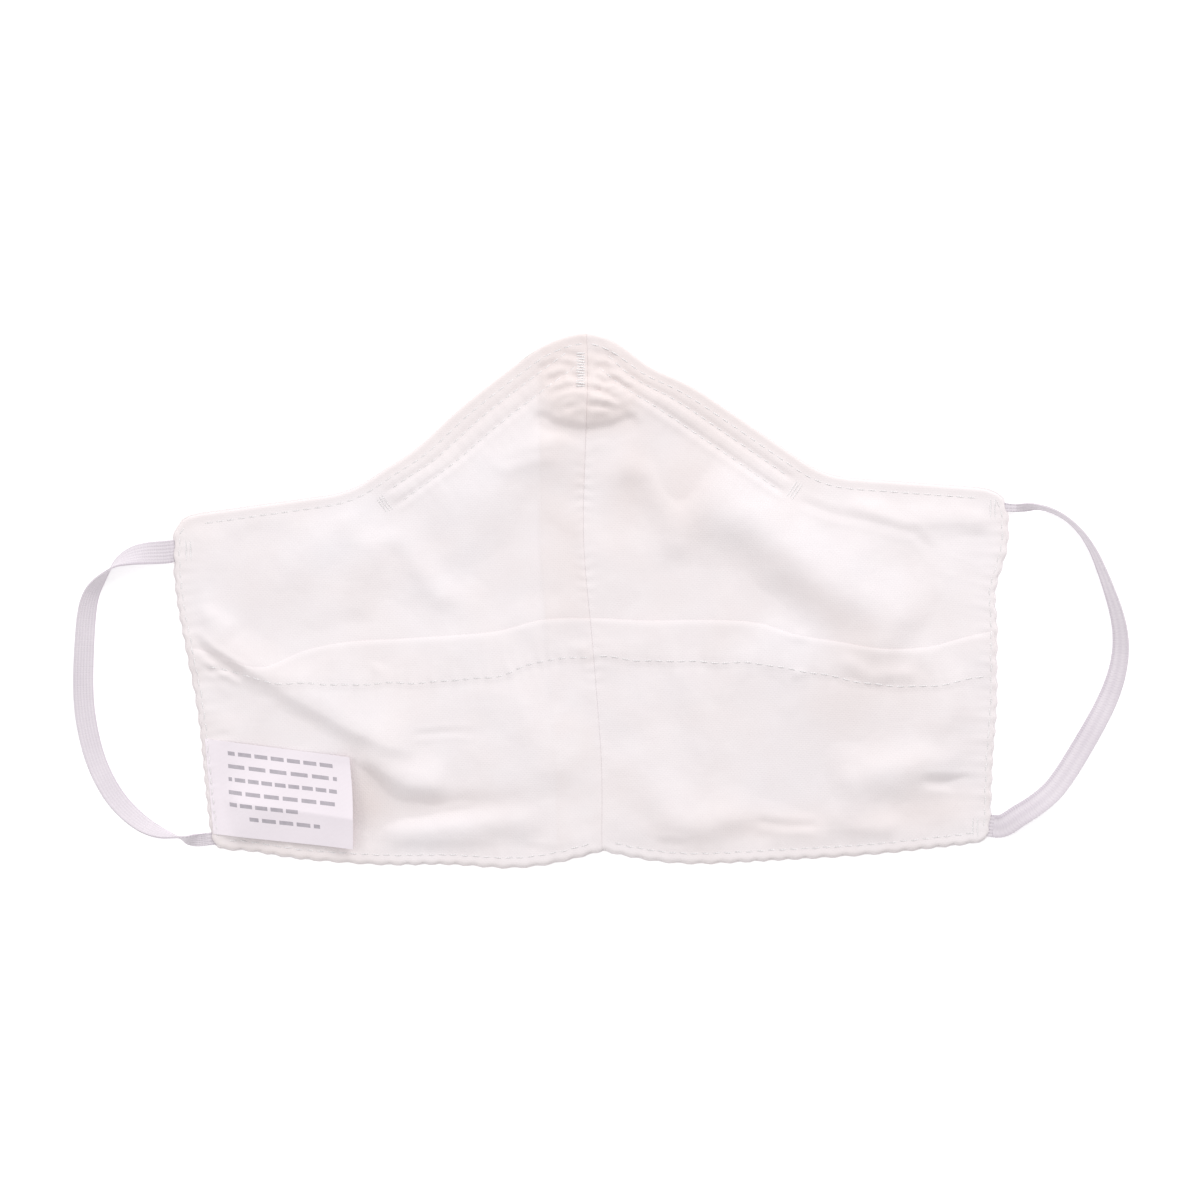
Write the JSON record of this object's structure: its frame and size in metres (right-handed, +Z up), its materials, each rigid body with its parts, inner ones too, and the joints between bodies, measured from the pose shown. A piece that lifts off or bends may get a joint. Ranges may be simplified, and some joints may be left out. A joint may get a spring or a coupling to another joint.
{
  "type": "cloth face mask",
  "caption": "Sewn cotton face mask laid open with its inside up, with a centre fold, nose wire casing, filter pocket, side label and flat elastic ear loops.",
  "frame": {"origin": "on the surface the mask lies on, at the middle of the sewn body, on the line of the centre fold", "axes": "+X along the width, towards the half without the label; +Y from the chin notch to the nose peak; +Z up, out of the inside face"},
  "size_m": [0.2768, 0.1401, 0.0064],
  "materials": {
    "shell_cotton": "plain weave cotton",
    "lining_cotton": "plain weave cotton, softly crumpled",
    "interlining": "soft felted layer",
    "elastic": "flat braided elastic",
    "label_satin": "satin ribbon",
    "thread": "spun sewing thread",
    "nose_wire": "soft dull strip"
  },
  "bodies": {
    "left_half": {"left_shell": "shell_cotton", "left_interlining": "interlining", "left_upper_lining": "lining_cotton", "left_lower_lining": "lining_cotton", "left_nose_wire": "nose_wire", "left_elastic_ends": "elastic", "left_top_stitching": "thread", "left_side_stitching": "thread", "left_bottom_stitching": "thread", "left_casing_stitching": "thread", "left_pocket_stitching": "thread", "left_tacks": "thread", "seam_allowance": "shell_cotton", "centre_seam_thread": "thread", "peak_bar_tack": "thread", "side_label": "label_satin"},
    "right_half": {"right_shell": "shell_cotton", "right_interlining": "interlining", "right_upper_lining": "lining_cotton", "right_lower_lining": "lining_cotton", "right_nose_wire": "nose_wire", "right_elastic_ends": "elastic", "right_top_stitching": "thread", "right_side_stitching": "thread", "right_bottom_stitching": "thread", "right_casing_stitching": "thread", "right_pocket_stitching": "thread", "right_tacks": "thread"},
    "left_loop": {"left_ear_loop": "elastic"},
    "right_loop": {"right_ear_loop": "elastic"}
  },
  "joints": [
    {"name": "centre_fold", "type": "hinge", "parent": "left_half", "child": "right_half", "pos_m": [0, 0, 0.0035], "axis": [0, -1, 0], "range_deg": [0, 140]},
    {"name": "left_loop_swing", "type": "hinge", "parent": "left_half", "child": "left_loop", "pos_m": [-0.1106, 0.0167, 0.00095], "axis": [-0.0944, 0.9955, 0], "range_deg": [-100, 95]},
    {"name": "right_loop_swing", "type": "hinge", "parent": "right_half", "child": "right_loop", "pos_m": [0.1106, 0.0209, 0.00095], "axis": [-0.0883, -0.9961, 0], "range_deg": [-100, 95]}
  ]
}
